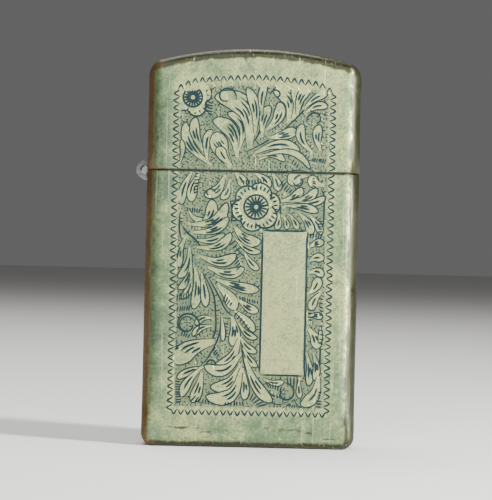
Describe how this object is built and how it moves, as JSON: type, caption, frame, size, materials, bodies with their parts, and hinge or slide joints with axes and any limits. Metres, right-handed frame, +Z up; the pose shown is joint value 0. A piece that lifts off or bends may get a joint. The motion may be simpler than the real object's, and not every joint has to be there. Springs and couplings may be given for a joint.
{
  "type": "pocket lighter",
  "caption": "Slim flip-top windproof pocket lighter: hinged engraved brass case around a steel insert with wick, chimney, sprung flint and striker wheel.",
  "frame": {"origin": "middle of the case's flat base", "axes": "+X to the right as seen from the front, with the hinge at -X; +Y from the front face to the back face; +Z up, from the base to the lid's crown"},
  "size_m": [0.0317, 0.0098, 0.0565],
  "materials": {
    "aged_brass": "worn brass with green-grey patina, satin",
    "nickel_hinge": "worn nickel plate",
    "bright_pin": "bright turned steel",
    "insert_steel": "fine brushed steel",
    "striker_steel": "dark hardened steel",
    "spring_steel": "bright spring steel",
    "tube_brass": "dull yellow brass",
    "flint_alloy": "matt dark grey",
    "braided_wick": "braided cotton, charred at the top",
    "copper_wire": "bare copper wire",
    "cotton": "loose cotton wool",
    "felt": "pressed wool felt"
  },
  "bodies": {
    "case": {"case_shell": "aged_brass", "case_hinge_leaf": "nickel_hinge", "hinge_pin": "bright_pin", "fuel_tank": "insert_steel", "deck_plate": "insert_steel", "chimney": "insert_steel", "wheel_axle": "bright_pin", "cam_axle": "bright_pin", "cam_spring": "spring_steel", "cam_spring_rivet": "bright_pin", "flint_tube": "tube_brass", "flint_spring": "spring_steel", "flint_screw": "tube_brass", "wick": "braided_wick", "wick_core_wire": "copper_wire", "cotton_packing": "cotton", "felt_pad": "felt"},
    "lid": {"lid_shell": "aged_brass", "lid_hinge_leaf": "nickel_hinge"},
    "striker_wheel": {"striker_wheel": "striker_steel"},
    "cam": {"cam": "insert_steel"},
    "flint_feed": {"flint": "flint_alloy", "flint_follower": "tube_brass"}
  },
  "joints": [
    {"name": "lid_hinge", "type": "hinge", "parent": "case", "child": "lid", "pos_m": [-0.01535, 0, 0.0391], "axis": [0, -1, 0], "range_deg": [0, 125]},
    {"name": "cam_pivot", "type": "hinge", "parent": "case", "child": "cam", "pos_m": [-0.0089, 0, 0.044], "axis": [0, -1, 0], "range_deg": [0, 36.2], "deforming": ["cam_spring"]},
    {"name": "striker_wheel_spin", "type": "hinge", "parent": "case", "child": "striker_wheel", "pos_m": [-0.0036, 0, 0.0475], "axis": [0, 1, 0], "continuous": true},
    {"name": "flint_feed", "type": "slide", "parent": "case", "child": "flint_feed", "axis": [0, 0, -1], "range_m": [0, 0.0015], "stiffness_N_per_m": 50, "springref_m": -0.02, "deforming": ["flint_spring"]}
  ],
  "couplings": [
    {"joint": "cam_pivot", "follows": "lid_hinge", "ratio": 0.288}
  ]
}
